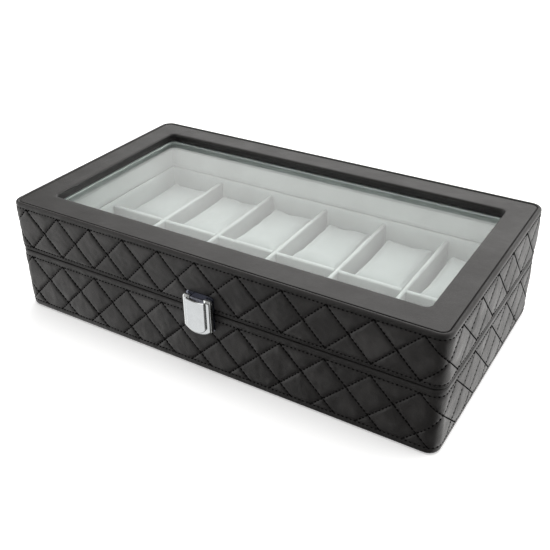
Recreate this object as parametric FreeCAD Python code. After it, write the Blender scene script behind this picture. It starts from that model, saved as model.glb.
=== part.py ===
"""Twelve-place watch box: quilted leatherette over board, glazed lid, snap clasp, two butt hinges.

Millimetres, +Z up. The origin is the centre of the underside; +X runs along the box and -Y is the front,
where the clasp is. Every function returns one piece, and the last section names each piece and writes it.
"""
import FreeCAD, Part
import math
import os

V = FreeCAD.Vector

# ---- driving dimensions ------------------------------------------------------------------------------
LENGTH = 355.0            # outside, along X
DEPTH = 196.0             # outside, along Y, without clasp and hinges
HEIGHT = 93.5             # to the top of the lid's rolled rim
SPLIT_Z = 53.0            # lid and base meet here
CORNER_R = 9.0            # upright outside corners

LEATHER = 1.2             # quilted leatherette
WADDING = 2.0             # foam between leatherette and board
BOARD = 8.0               # wall boards
LINING = 1.4              # suede-covered card on the inside of the walls
RIM_FOLD = 0.8            # leatherette folded over the edges of the walls
SPLIT_ROUND = 1.0         # rounding of the folded edges where lid meets base
TOP_ROUND = 1.1           # rounding of the lid's rolled rim
FOOT_ROUND = 1.1          # rounding of the lower edge of the base
EDGE_LIFT = 0.6           # the leatherette stops this far above the table

FELT = 1.0                # sheet under the base
BOTTOM_BOARD = 5.0
FLOOR_LINING = 1.0
LINING_GAP = 0.3          # each wall lining stops this far from the split

COLUMNS = 6
DIVIDER = 3.5             # thickness of a velvet-covered divider
DIVIDER_TOP_Z = 49.0

PILLOW_SIZE = (46.0, 74.5, 36.0)
PILLOW_R = 6.0

WINDOW_SIDE = 22.3        # width of the lid's frame at left, right and back
WINDOW_FRONT = 24.5       # and at the front
WINDOW_R = 4.5
FRAME_BOARD = 5.9
TOP_LEATHER = 0.8
RIM_GROOVE = 0.5          # between the rolled rim and the leather of the frame
GLASS = 3.0
GLASS_OVERLAP = 5.5       # glass hidden under the frame, all round
GLASS_RETAINER = 2.0      # lined card frame under the glass

HINGE_X = 105.0           # hinges at plus and minus this
HINGE_WIDTH = 26.0
HINGE_LEAF = 1.0
HINGE_LEAF_HEIGHT = 13.0
KNUCKLE_R = 3.3
KNUCKLE_GAP = 0.3         # along the pin, between knuckles
HINGE_PIN_R = 1.2
PIN_PLAY = 0.04           # radial running fit of both kinds of pin
HINGE_STANDOFF = 0.6      # between knuckle and leatherette

SCREW_R = 1.2
SCREW_HEAD_R = 2.2
SCREW_HEAD = 0.9
SCREW_LENGTH = 9.0        # under the head
SCREW_SPREAD = 8.0        # screws at plus and minus this from the middle of a leaf

PLATE = 1.0               # clasp plates
PLATE_HALF_WIDTH = 11.5
PLATE_TOP_Z = 66.6
PLATE_BOTTOM_Z = 38.3
PLATE_R = 2.5
PLATE_GAP = 0.4           # each clasp plate stops this far from the split
LEVER_HALF_WIDTH = 11.5
LEVER_GAP = 0.4           # between the lever and the plates
LEVER_FRONT = 7.2         # the lever's panel stands this far off the box
LEVER_RAISE = 1.4         # the panel stands this far off the rails beside it
LEVER_WALL = 1.0
LEVER_RAIL = 3.8          # width of the rail at each side of the panel
LEVER_RIM = 2.4           # width of the rim along the lower edge
LEVER_EDGE_R = 1.2        # rounding of the rails' outer edges
CROWN_LAND = 0.05         # left flat at each side of the rails' rounded tops
PANEL_EDGE_R = 0.45       # rounding of the panel's edges
LEVER_SKIRT = 1.7         # depth of the lower edge, which leaves room for a fingernail
LEVER_CORNER_Z = 40.3     # where the upright sides end and the curved lower edge starts
LEVER_BOTTOM_Z = 35.2
PANEL_SHOULDER_Z = 64.2   # the panel's hollow upper edge, at the rails
PANEL_DIP_Z = 63.2        # and in the middle
PIVOT_Z = 63.2
PIVOT_OUT = 3.7           # the lever's pin stands this far off the box
CLASP_PIN_R = 0.7
BARREL_R = 1.4
BARREL_HALF = 5.8
BARREL_GAP = 0.3
CATCH_HALF_WIDTH = 3.0
CATCH_OUT = 2.6           # the catch stands this far off the base plate
CATCH_Z = (45.0, 48.5)
SPRING = 0.35
SPRING_HALF_WIDTH = 2.6
NAIL_R = 0.7
NAIL_HEAD_R = 1.4
NAIL_HEAD = 0.7
NAIL_LENGTH = 7.0
NAIL_X = 6.6
NAIL_Z = (43.4, 57.5)     # on the base plate, on the lid plate

# ---- worked out from them ----------------------------------------------------------------------------
HALF_X = LENGTH / 2
HALF_Y = DEPTH / 2
PADDED = LEATHER + WADDING
WALL = PADDED + BOARD
INSIDE_X = HALF_X - WALL - LINING
INSIDE_Y = HALF_Y - WALL - LINING
FLOOR_Z = FELT + BOTTOM_BOARD + FLOOR_LINING
BASE_BOARD_TOP = SPLIT_Z - RIM_FOLD
LID_BOARD_FOOT = SPLIT_Z + RIM_FOLD
FRAME_TOP = HEIGHT - LEATHER
GLASS_TOP = FRAME_TOP - FRAME_BOARD
GLASS_FOOT = GLASS_TOP - GLASS
RETAINER_FOOT = GLASS_FOOT - GLASS_RETAINER
COLUMN_PITCH = 2 * INSIDE_X / COLUMNS
ROW_Y = (DIVIDER / 2 + INSIDE_Y) / 2
WINDOW = (-HALF_X + WINDOW_SIDE, HALF_X - WINDOW_SIDE, -HALF_Y + WINDOW_FRONT, HALF_Y - WINDOW_SIDE)
HINGE_Y = HALF_Y + HINGE_STANDOFF + KNUCKLE_R
KNUCKLE_WIDTH = (HINGE_WIDTH - 2 * KNUCKLE_GAP) / 3
PIVOT_Y = -HALF_Y - PIVOT_OUT


# ---- shapes used by several pieces -------------------------------------------------------------------
def block(x0, x1, y0, y1, z0, z1):
    return Part.makeBox(x1 - x0, y1 - y0, z1 - z0, V(x0, y0, z0))


def edges_along_z(solid):
    return [e for e in solid.Edges if e.BoundBox.XLength < 1e-6 and e.BoundBox.YLength < 1e-6]


def edges_at_y(solid, y):
    return [e for e in solid.Edges if e.BoundBox.YLength < 1e-6 and abs(e.BoundBox.YMin - y) < 1e-6]


def edges_at_z(solid, z):
    return [e for e in solid.Edges if e.BoundBox.ZLength < 1e-6 and abs(e.BoundBox.ZMin - z) < 1e-6]


def slab(inset, z0, z1):
    """The box's outline, drawn in by inset, from z0 to z1."""
    x, y = HALF_X - inset, HALF_Y - inset
    solid = block(-x, x, -y, y, z0, z1)
    radius = CORNER_R - inset
    return solid.makeFillet(radius, edges_along_z(solid)) if radius > 0.5 else solid


def window_slab(grow, z0, z1):
    """The window's outline, let out by grow, from z0 to z1."""
    x0, x1, y0, y1 = WINDOW
    solid = block(x0 - grow, x1 + grow, y0 - grow, y1 + grow, z0, z1)
    return solid.makeFillet(WINDOW_R + grow, edges_along_z(solid))


def cylinder_x(radius, x0, x1, y, z):
    return Part.makeCylinder(radius, x1 - x0, V(x0, y, z), V(1, 0, 0))


def fuse(solids):
    return solids[0].multiFuse(solids[1:]).removeSplitter()


def cut_all(solid, tools):
    return solid.cut(Part.makeCompound(tools)) if tools else solid


def prism_y(points, y0, y1):
    """A closed X-Z outline of straight lines and three-point arcs, drawn out from y0 to y1.

    points holds (x, z) corners; a nested pair (via, end) makes an arc through via to end.
    """
    start = V(points[0][0], y0, points[0][1])
    here, edges = start, []
    for step in points[1:]:
        if isinstance(step[0], tuple):
            via, end = (V(x, y0, z) for x, z in step)
            edges.append(Part.Arc(here, via, end).toShape())
        else:
            end = V(step[0], y0, step[1])
            edges.append(Part.makeLine(here, end))
        here = end
    if here.distanceToPoint(start) > 1e-6:
        edges.append(Part.makeLine(here, start))
    return Part.Face(Part.Wire(edges)).extrude(V(0, y1 - y0, 0))


# ---- fasteners ---------------------------------------------------------------------------------------
def shaft(x, z, radius, length, side, stand):
    """A fastener's shank: side is +1 at the back and -1 at the front, stand its head's height off the box."""
    return Part.makeCylinder(radius, length, V(x, side * (HALF_Y + stand), z), V(0, -side, 0))


def screw_places(z):
    return [(hinge + spread, z) for hinge in (-HINGE_X, HINGE_X) for spread in (-SCREW_SPREAD, SCREW_SPREAD)]


BASE_SCREW_Z = SPLIT_Z - KNUCKLE_R - HINGE_LEAF_HEIGHT / 2
LID_SCREW_Z = SPLIT_Z + KNUCKLE_R + HINGE_LEAF_HEIGHT / 2


def screw_shanks(z):
    return [shaft(x, z, SCREW_R, SCREW_LENGTH, 1, HINGE_LEAF) for x, z in screw_places(z)]


def screws(z):
    """Slotted round-head screws through both hinge leaves at height z."""
    made = []
    face = HALF_Y + HINGE_LEAF
    for (x, _), shank in zip(screw_places(z), screw_shanks(z)):
        head = Part.makeCylinder(SCREW_HEAD_R, SCREW_HEAD, V(x, face, z), V(0, 1, 0))
        rim = [e for e in head.Edges if e.BoundBox.YLength < 1e-6 and e.BoundBox.YMin > face + SCREW_HEAD / 2]
        head = head.makeFillet(SCREW_HEAD * 0.6, rim)
        slot = block(x - SCREW_HEAD_R, x + SCREW_HEAD_R, face + SCREW_HEAD * 0.5, face + SCREW_HEAD + 1,
                     z - 0.25, z + 0.25)
        made.append(fuse([head.cut(slot), shank]))
    return Part.makeCompound(made)


def nail_shanks(z):
    return [shaft(x, z, NAIL_R, NAIL_LENGTH, -1, PLATE) for x in (-NAIL_X, NAIL_X)]


def nails(z):
    """Round-head nails that hold a clasp plate at height z."""
    made = []
    for x, shank in zip((-NAIL_X, NAIL_X), nail_shanks(z)):
        face = -HALF_Y - PLATE
        head = Part.makeCylinder(NAIL_HEAD_R, NAIL_HEAD, V(x, face, z), V(0, -1, 0))
        rim = [e for e in head.Edges if e.BoundBox.YLength < 1e-6 and e.BoundBox.YMax < face - NAIL_HEAD / 2]
        made.append(fuse([head.makeFillet(NAIL_HEAD * 0.6, rim), shank]))
    return Part.makeCompound(made)


BASE_FIXINGS = screw_shanks(BASE_SCREW_Z) + nail_shanks(NAIL_Z[0])
LID_FIXINGS = screw_shanks(LID_SCREW_Z) + nail_shanks(NAIL_Z[1])


# ---- walls -------------------------------------------------------------------------------------------
def long_wall(side, z0, z1, fixings):
    """Front (side -1) or back (+1) wall board, which runs the full length and has rounded ends."""
    outer, inner = HALF_Y - PADDED, HALF_Y - WALL
    y0, y1 = sorted((side * inner, side * outer))
    bar = block(-HALF_X, HALF_X, y0, y1, z0, z1).common(slab(PADDED, z0, z1))
    return cut_all(bar, fixings)


def short_wall(side, z0, z1):
    """Left (side -1) or right (+1) wall board, which fits between the long ones."""
    x0, x1 = sorted((side * (HALF_X - WALL), side * (HALF_X - PADDED)))
    y = HALF_Y - WALL
    return block(x0, x1, -y, y, z0, z1)


def wall_lining(z0, z1):
    return slab(WALL, z0, z1).cut(slab(WALL + LINING, z0, z1))


def wadding(z0, z1, fixings):
    return cut_all(slab(LEATHER, z0, z1).cut(slab(PADDED, z0, z1)), fixings)


# ---- base --------------------------------------------------------------------------------------------
def base_cover():
    """Quilted leatherette round the base, folded over the top of the walls."""
    shell = slab(0, EDGE_LIFT, SPLIT_Z)
    shell = shell.makeFillet(SPLIT_ROUND, edges_at_z(shell, SPLIT_Z))
    shell = shell.makeFillet(FOOT_ROUND, edges_at_z(shell, EDGE_LIFT))
    shell = shell.cut(slab(LEATHER, EDGE_LIFT, BASE_BOARD_TOP))
    return cut_all(shell.cut(slab(WALL, BASE_BOARD_TOP, SPLIT_Z)), BASE_FIXINGS)


def divider_positions():
    return [(i - COLUMNS / 2) * COLUMN_PITCH for i in range(1, COLUMNS)]


def long_divider():
    """Runs the length of the inside, notched from above where the cross dividers pass."""
    half, middle = DIVIDER / 2, (FLOOR_Z + DIVIDER_TOP_Z) / 2
    strip = block(-INSIDE_X, INSIDE_X, -half, half, FLOOR_Z, DIVIDER_TOP_Z)
    notches = [block(x - half, x + half, -half, half, middle, DIVIDER_TOP_Z) for x in divider_positions()]
    return cut_all(strip, notches)


def cross_divider(x):
    """Runs from front to back, notched from below to sit over the long divider."""
    half, middle = DIVIDER / 2, (FLOOR_Z + DIVIDER_TOP_Z) / 2
    strip = block(x - half, x + half, -INSIDE_Y, INSIDE_Y, FLOOR_Z, DIVIDER_TOP_Z)
    return strip.cut(block(x - half, x + half, -half, half, FLOOR_Z, middle))


def pillow(column, row):
    """A removable watch pillow: column 0 to 5 from the left, row -1 in front and +1 behind."""
    width, length, height = PILLOW_SIZE
    x = (column - (COLUMNS - 1) / 2) * COLUMN_PITCH
    y = row * ROW_Y
    solid = block(x - width / 2, x + width / 2, y - length / 2, y + length / 2, FLOOR_Z, FLOOR_Z + height)
    return solid.makeFillet(PILLOW_R, solid.Edges)


# ---- lid ---------------------------------------------------------------------------------------------
def lid_cover():
    """Quilted leatherette round the lid, folded under the walls and over the top as a rolled rim."""
    shell = slab(0, SPLIT_Z, HEIGHT)
    shell = shell.makeFillet(SPLIT_ROUND, edges_at_z(shell, SPLIT_Z))
    shell = shell.makeFillet(TOP_ROUND, edges_at_z(shell, HEIGHT))
    hollow = slab(LEATHER, LID_BOARD_FOOT, FRAME_TOP)
    lower, upper = slab(WALL, SPLIT_Z, LID_BOARD_FOOT), slab(PADDED, FRAME_TOP, HEIGHT)
    return cut_all(shell, [hollow, lower, upper] + LID_FIXINGS)


def frame_board():
    return slab(PADDED, GLASS_TOP, FRAME_TOP).cut(window_slab(TOP_LEATHER, GLASS_TOP, FRAME_TOP))


def top_leather():
    """Smooth leatherette on the lid's frame, turned down into the window."""
    top = FRAME_TOP + TOP_LEATHER
    sheet = slab(PADDED + RIM_GROOVE, FRAME_TOP, top)
    turned = window_slab(TOP_LEATHER, GLASS_TOP, top)
    return fuse([sheet, turned]).cut(window_slab(0, GLASS_TOP, top))


def glass():
    x0, x1, y0, y1 = WINDOW
    g = GLASS_OVERLAP
    return block(x0 - g, x1 + g, y0 - g, y1 + g, GLASS_FOOT, GLASS_TOP)


def glass_retainer():
    outer = slab(WALL + LINING, RETAINER_FOOT, GLASS_FOOT)
    return outer.cut(window_slab(0, RETAINER_FOOT, GLASS_FOOT))


# ---- hinges ------------------------------------------------------------------------------------------
def hinge_leaf(x, side):
    """One leaf of the hinge at x: side -1 is the base's, with the two outer knuckles, +1 the lid's."""
    start = x - HINGE_WIDTH / 2
    step = KNUCKLE_WIDTH + KNUCKLE_GAP
    mine = [start + i * step for i in ((0, 2) if side < 0 else (1,))]
    near = SPLIT_Z + side * KNUCKLE_R
    far = near + side * HINGE_LEAF_HEIGHT
    plate = block(start, start + HINGE_WIDTH, HALF_Y, HALF_Y + HINGE_LEAF, min(near, far), max(near, far))
    pieces = [plate.makeFillet(2.0, leaf_corners(plate, far))]
    for x0 in mine:
        pieces.append(cylinder_x(KNUCKLE_R, x0, x0 + KNUCKLE_WIDTH, HINGE_Y, SPLIT_Z))
        pieces.append(block(x0, x0 + KNUCKLE_WIDTH, HALF_Y, HALF_Y + KNUCKLE_R * 0.8,
                            min(near, SPLIT_Z), max(near, SPLIT_Z)))
    bore = cylinder_x(HINGE_PIN_R + PIN_PLAY, start - 1, start + HINGE_WIDTH + 1, HINGE_Y, SPLIT_Z)
    shanks = screw_shanks(BASE_SCREW_Z if side < 0 else LID_SCREW_Z)
    return cut_all(fuse(pieces), [bore] + shanks)


def leaf_corners(plate, z):
    """The two short edges through the leaf's thickness at its far end."""
    return [e for e in plate.Edges if e.BoundBox.XLength < 1e-6 and e.BoundBox.ZLength < 1e-6
            and abs(e.BoundBox.ZMin - z) < 1e-6]


def hinge_pins():
    """A headed pin through each hinge."""
    made = []
    for x in (-HINGE_X, HINGE_X):
        x0, x1 = x - HINGE_WIDTH / 2, x + HINGE_WIDTH / 2
        pin = cylinder_x(HINGE_PIN_R, x0, x1, HINGE_Y, SPLIT_Z)
        heads = [cylinder_x(HINGE_PIN_R * 1.6, a, a + 0.8, HINGE_Y, SPLIT_Z) for a in (x0 - 0.8, x1)]
        made.append(fuse([pin] + heads))
    return Part.makeCompound(made)


# ---- clasp -------------------------------------------------------------------------------------------
def clasp_plate(z0, z1, round_z):
    """A plate on the front of the box, with its two corners at round_z rounded."""
    plate = block(-PLATE_HALF_WIDTH, PLATE_HALF_WIDTH, -HALF_Y - PLATE, -HALF_Y, z0, z1)
    return plate.makeFillet(PLATE_R, leaf_corners(plate, round_z))


def clasp_base_plate():
    """Lower clasp plate with the catch that the spring snaps under."""
    plate = clasp_plate(PLATE_BOTTOM_Z, SPLIT_Z - PLATE_GAP, PLATE_BOTTOM_Z)
    face = -HALF_Y - PLATE
    low, high = CATCH_Z
    profile = [V(0, face + 0.2, low), V(0, face - CATCH_OUT, low), V(0, face - CATCH_OUT, low + 1.2),
               V(0, face, high), V(0, face + 0.2, high), V(0, face + 0.2, low)]
    catch = Part.Face(Part.makePolygon(profile)).extrude(V(2 * CATCH_HALF_WIDTH, 0, 0))
    catch.translate(V(-CATCH_HALF_WIDTH, 0, 0))
    return cut_all(fuse([plate, catch]), nail_shanks(NAIL_Z[0]))


def clasp_lid_plate():
    """Upper clasp plate with the barrel that the lever turns on."""
    plate = clasp_plate(SPLIT_Z + PLATE_GAP, PLATE_TOP_Z, PLATE_TOP_Z)
    barrel = cylinder_x(BARREL_R, -BARREL_HALF, BARREL_HALF, PIVOT_Y, PIVOT_Z)
    web = block(-BARREL_HALF, BARREL_HALF, PIVOT_Y, -HALF_Y - PLATE / 2, PIVOT_Z + 0.2, PIVOT_Z + BARREL_R)
    bore = cylinder_x(CLASP_PIN_R + PIN_PLAY, -BARREL_HALF - 1, BARREL_HALF + 1, PIVOT_Y, PIVOT_Z)
    return cut_all(fuse([plate, barrel, web]), [bore] + nail_shanks(NAIL_Z[1]))


def shield(half_width, corner_z, bottom_z, top_z, y0, y1):
    """The lever's outline: upright sides and a round lower edge."""
    outline = [(-half_width, top_z), (-half_width, corner_z), ((0.0, bottom_z), (half_width, corner_z)),
               (half_width, top_z)]
    return prism_y(outline, y0, y1)


def clasp_lever():
    """Chrome cover of the clasp: a raised panel between two rails, with a hollow back."""
    back, face = -HALF_Y - PLATE - LEVER_GAP, -HALF_Y - LEVER_FRONT
    front = face + LEVER_RAISE
    radius = back - PIVOT_Y
    top = PIVOT_Z + radius
    body = shield(LEVER_HALF_WIDTH, LEVER_CORNER_Z, LEVER_BOTTOM_Z, top, front, back)
    for y, reach in ((back, radius), (front, PIVOT_Y - front)):
        crown = [e for e in edges_at_y(body, y) if abs(e.BoundBox.ZMin - top) < 1e-6]
        body = body.makeFillet(reach - CROWN_LAND, crown)
    outer = [e for e in edges_at_y(body, front) if e.BoundBox.ZMax < PIVOT_Z + 1]
    body = body.makeFillet(LEVER_EDGE_R, outer)
    half = LEVER_HALF_WIDTH - LEVER_RAIL
    foot, low = LEVER_BOTTOM_Z + LEVER_RIM, LEVER_CORNER_Z + LEVER_RIM - 0.6
    panel = prism_y([(-half, PANEL_SHOULDER_Z), (-half, low), ((0.0, foot), (half, low)), (half, PANEL_SHOULDER_Z),
                     ((0.0, PANEL_DIP_Z), (-half, PANEL_SHOULDER_Z))], face, front + LEVER_WALL / 2)
    panel = panel.makeFillet(PANEL_EDGE_R, edges_at_y(panel, face))
    inside = LEVER_HALF_WIDTH - LEVER_WALL
    behind = front + LEVER_WALL
    knuckle_foot = PIVOT_Z - radius
    hollow = shield(inside, LEVER_CORNER_Z + LEVER_WALL, LEVER_BOTTOM_Z + LEVER_WALL + 0.3, knuckle_foot,
                    behind, back)
    between = BARREL_HALF + BARREL_GAP
    barrel_room = block(-between, between, behind, back, knuckle_foot, top)
    barrel_sweep = cylinder_x(BARREL_R + BARREL_GAP, -between, between, PIVOT_Y, PIVOT_Z)
    finger_room = block(-inside, inside, front + LEVER_SKIRT, back, LEVER_BOTTOM_Z - 1, LEVER_CORNER_Z + 4)
    opening = prism_y([(-half, top + 1), (-half, PANEL_SHOULDER_Z), ((0.0, PANEL_DIP_Z), (half, PANEL_SHOULDER_Z)),
                       (half, top + 1)], front - 1, behind)
    bore = cylinder_x(CLASP_PIN_R + PIN_PLAY, -LEVER_HALF_WIDTH - 1, LEVER_HALF_WIDTH + 1, PIVOT_Y, PIVOT_Z)
    body = cut_all(body, [hollow, barrel_room, finger_room, opening, bore])
    panel = panel.cut(block(-between, between, behind, back, 0, top))
    return fuse([body, panel]).cut(barrel_sweep)


def clasp_pin():
    half = LEVER_HALF_WIDTH - 0.25
    return cylinder_x(CLASP_PIN_R, -half, half, PIVOT_Y, PIVOT_Z)


def clasp_spring():
    """Leaf spring fixed behind the lever's panel; its nose snaps under the catch."""
    fixed = -HALF_Y - LEVER_FRONT + LEVER_RAISE + LEVER_WALL
    nose = -HALF_Y - PLATE - 0.6
    line = [(fixed + SPRING / 2, 59.0), (fixed + SPRING / 2, 44.8), (nose - SPRING, 42.6), (fixed + 1.0, 40.8)]
    strips = []
    for (y0, z0), (y1, z1) in zip(line, line[1:]):
        run = math.hypot(y1 - y0, z1 - z0)
        strip = Part.makeBox(2 * SPRING_HALF_WIDTH, SPRING, run, V(-SPRING_HALF_WIDTH, -SPRING / 2, 0))
        strip.rotate(V(0, 0, 0), V(1, 0, 0), -math.degrees(math.atan2(y1 - y0, z1 - z0)))
        strip.translate(V(0, y0, z0))
        strips.append(strip)
    for y, z in line[1:-1]:
        strips.append(cylinder_x(SPRING / 2, -SPRING_HALF_WIDTH, SPRING_HALF_WIDTH, y, z))
    return fuse(strips)


# ---- every piece by name -----------------------------------------------------------------------------
def all_pieces():
    base_walls, lid_walls = (FELT, BASE_BOARD_TOP), (LID_BOARD_FOOT, GLASS_TOP)
    pieces = {
        "base_felt": slab(PADDED + 1.0, 0, FELT),
        "base_bottom_board": block(-HALF_X + WALL, HALF_X - WALL, -HALF_Y + WALL, HALF_Y - WALL,
                                   FELT, FELT + BOTTOM_BOARD),
        "base_front_board": long_wall(-1, *base_walls, nail_shanks(NAIL_Z[0])),
        "base_back_board": long_wall(1, *base_walls, screw_shanks(BASE_SCREW_Z)),
        "base_left_board": short_wall(-1, *base_walls),
        "base_right_board": short_wall(1, *base_walls),
        "base_wadding": wadding(*base_walls, BASE_FIXINGS),
        "base_quilted_cover": base_cover(),
        "base_wall_lining": wall_lining(FELT + BOTTOM_BOARD, SPLIT_Z - LINING_GAP),
        "base_floor_lining": slab(WALL + LINING, FELT + BOTTOM_BOARD, FLOOR_Z),
        "divider_long": long_divider(),
        "hinge_pins": hinge_pins(),
        "hinge_base_screws": screws(BASE_SCREW_Z),
        "hinge_lid_screws": screws(LID_SCREW_Z),
        "clasp_base_plate": clasp_base_plate(),
        "clasp_base_nails": nails(NAIL_Z[0]),
        "clasp_lid_plate": clasp_lid_plate(),
        "clasp_lid_nails": nails(NAIL_Z[1]),
        "clasp_lever": clasp_lever(),
        "clasp_pin": clasp_pin(),
        "clasp_spring": clasp_spring(),
        "lid_front_board": long_wall(-1, *lid_walls, nail_shanks(NAIL_Z[1])),
        "lid_back_board": long_wall(1, *lid_walls, screw_shanks(LID_SCREW_Z)),
        "lid_left_board": short_wall(-1, *lid_walls),
        "lid_right_board": short_wall(1, *lid_walls),
        "lid_frame_board": frame_board(),
        "lid_wadding": wadding(LID_BOARD_FOOT, FRAME_TOP, LID_FIXINGS),
        "lid_quilted_cover": lid_cover(),
        "lid_top_leather": top_leather(),
        "lid_glass": glass(),
        "lid_glass_retainer": glass_retainer(),
        "lid_wall_lining": wall_lining(SPLIT_Z + LINING_GAP, GLASS_TOP),
    }
    for name, x in (("left", -HINGE_X), ("right", HINGE_X)):
        pieces[f"hinge_{name}_base_leaf"] = hinge_leaf(x, -1)
        pieces[f"hinge_{name}_lid_leaf"] = hinge_leaf(x, 1)
    for number, x in enumerate(divider_positions(), 1):
        pieces[f"divider_cross_{number}"] = cross_divider(x)
    for row, side in (("front", -1), ("back", 1)):
        for column in range(COLUMNS):
            pieces[f"pillow_{row}_{column + 1}"] = pillow(column, side)
    return pieces


os.makedirs("parts", exist_ok=True)
for name, shape in sorted(all_pieces().items()):
    shape.exportStep(f"parts/{name}.step")
    print(f"{name}: {len(shape.Solids)} solid(s), valid {shape.isValid()}, {shape.Volume:.1f} mm3")
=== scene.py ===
"""The looks of a twelve-place watch box: quilted leatherette, a glazed lid, pale cloth inside, chrome clasp.

Building functions work in millimetres in the CAD's frame, and make() turns them into metres: +X runs along
the box, -Y is the front and Z = 0 is the table.
"""
import itertools
import math

import bpy
import numpy as np
from mathutils import Matrix, Vector


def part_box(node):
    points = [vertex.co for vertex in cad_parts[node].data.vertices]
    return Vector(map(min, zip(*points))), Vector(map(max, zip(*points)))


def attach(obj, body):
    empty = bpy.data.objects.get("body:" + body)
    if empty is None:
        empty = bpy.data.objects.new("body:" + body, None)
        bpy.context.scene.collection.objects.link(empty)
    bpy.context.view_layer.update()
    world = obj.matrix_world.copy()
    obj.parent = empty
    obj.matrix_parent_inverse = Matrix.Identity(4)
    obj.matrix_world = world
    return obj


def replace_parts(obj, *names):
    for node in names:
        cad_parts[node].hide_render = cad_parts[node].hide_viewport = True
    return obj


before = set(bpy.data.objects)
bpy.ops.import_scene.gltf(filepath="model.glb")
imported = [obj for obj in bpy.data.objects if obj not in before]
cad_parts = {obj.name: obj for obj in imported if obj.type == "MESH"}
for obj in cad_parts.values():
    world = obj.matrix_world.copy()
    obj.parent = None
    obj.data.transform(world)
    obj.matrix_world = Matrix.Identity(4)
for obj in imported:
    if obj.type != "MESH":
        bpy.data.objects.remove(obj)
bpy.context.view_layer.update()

MM = 0.001


def span(node):
    """Lowest and highest corner of a CAD node, in millimetres."""
    return [np.array(corner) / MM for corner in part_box(node)]


# ---- sizes read from the frame -----------------------------------------------------------------------
(_, _, FOOT_Z), (HALF_X, HALF_Y, SPLIT_Z) = span("base_quilted_cover")
RIM_Z = span("lid_quilted_cover")[1][2]
BOARD_TOP = span("base_front_board")[1][2]
BOARD_FOOT = span("base_front_board")[0][2]
LID_BOARD_FOOT = span("lid_front_board")[0][2]
FLOOR_LO, FLOOR_HI = span("base_floor_lining")
FELT_LO, FELT_HI = span("base_felt")
LINING_LO, LINING_HI = span("base_wall_lining")
LID_LINING_LO, LID_LINING_HI = span("lid_wall_lining")
TOP_LO, TOP_HI = span("lid_top_leather")
GLASS_LO, GLASS_HI = span("lid_glass")
RETAINER_LO, RETAINER_HI = span("lid_glass_retainer")
WALL = HALF_X - LINING_HI[0]            # outside of the box to the back of its lining
INSIDE = HALF_X - FLOOR_HI[0]           # outside of the box to the face of its lining
RIM_WIDTH = 3.2                         # the lid's rolled rim, seen from above
GLASS_OVERLAP = 5.5                     # glass hidden under the frame
WINDOW_HALF = ((GLASS_HI - GLASS_LO) / 2 - GLASS_OVERLAP)[:2]
WINDOW_Y = (GLASS_HI[1] + GLASS_LO[1]) / 2
WINDOW_R = 4.5
CORNER_R = 9.0
LEATHER = 1.2

# ---- quilting ----------------------------------------------------------------------------------------
# Diamonds are counted from near the middle of the front, once round the box; places are millimetres along
# the outline to the right of its middle. Cover by cover the sewing drifts a little from an even spacing.
HALF_COUNT = 16.5
HALF_ROUND = 2 * (HALF_X - CORNER_R) + 2 * (HALF_Y - CORNER_R) + math.pi * CORNER_R
LID_COUNTS = (-HALF_COUNT, -5.0, 0.0, 2.0, 5.0, 7.0, 10.0, HALF_COUNT)
LID_PLACES = (-HALF_ROUND, -162.0, -3.7, 64.4, 161.65, 231.0, 327.0, HALF_ROUND)
BASE_COUNTS = (-HALF_COUNT, -5.0, 0.0, 5.0, 7.0, 10.0, HALF_COUNT)
BASE_PLACES = (-HALF_ROUND, -165.4, -3.4, 162.6, 231.6, 331.0, HALF_ROUND)
DIAMOND_WIDTH = 33.0                    # on average
STEPS = 34                              # mesh columns and rows in one diamond
LID_STITCH_Z = (56.1, 89.5)             # the lid's two level seams, one diamond apart
BASE_STITCH_Z = (5.4, 47.2)             # the base's two
BASE_DIAMOND = 33.0                     # height of a diamond on the base
VALLEY = 0.45                           # a seam lies this far inside the CAD's face
PUFF = 0.9                              # a diamond stands this far off its seams
BAND_PUFF = 0.45                        # the same for the band beyond a level seam
BAND_STEPS = 5                          # mesh rows in that band
PLAIN_SHARE = 0.6                       # relief that the colour of a cover takes where it has no quilting
MOODS = (101, 103)                      # diamonds are told apart by their two numbers up to these
CREASE = 0.95                           # how quickly the leather rises from a seam
SEAM_SHADE_HALF_WIDTH = 0.8                             # half width of the painted shade line along a falling seam
LEVEL_SHADE = 0.28                      # lowest relief that the colour takes away from the falling seams, so that painted crease shade stays off the other seams
EDGING = 1.3                            # height of the narrow edging along the lid's lower edge
SPLIT_IN, SPLIT_DROP = 2.7, 1.6         # how far the base's upper edge curves in and down
SPLIT_GAP = 0.5                         # at the end of that curve, under the lid's edge
LEDGE = (5.0, 8.0)                      # mesh rows on the flat edges where lid and base meet
FOOT_IN, FOOT_RISE = 1.4, 2.6           # how far the base's lower edge curves in and up

rng = np.random.default_rng(12)


# ---- mesh building -----------------------------------------------------------------------------------
def make(name, points, faces, body, material, smooth=True, sharp=None):
    """A piece from points in millimetres and lists of faces; it rides on a body and gets its material."""
    points = np.asarray(points, float).reshape(-1, 3)
    mesh = bpy.data.meshes.new(name)
    rows = [row for block in faces for row in np.asarray(block).tolist()]
    if signed_volume(points, rows) < 0:
        rows = [row[::-1] for row in rows]
    mesh.from_pydata((points * MM).tolist(), [], rows)
    mesh.update()
    piece = bpy.data.objects.new(name, mesh)
    bpy.context.scene.collection.objects.link(piece)
    if smooth:
        mesh.shade_smooth()
    if sharp:
        mesh.set_sharp_from_angle(angle=math.radians(sharp))
    mesh.materials.append(material)
    if body:
        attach(piece, body)
    return piece


def signed_volume(points, rows):
    """Six times the volume that the faces enclose, negative where they face inwards."""
    total = 0.0
    for corners in (3, 4):
        block = np.array([r for r in rows if len(r) == corners], int)
        if len(block):
            first = points[block[:, 0]]
            for i in range(1, corners - 1):
                second, third = points[block[:, i]], points[block[:, i + 1]]
                total += np.einsum("ij,ij->i", first, np.cross(second, third)).sum()
    return total


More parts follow.
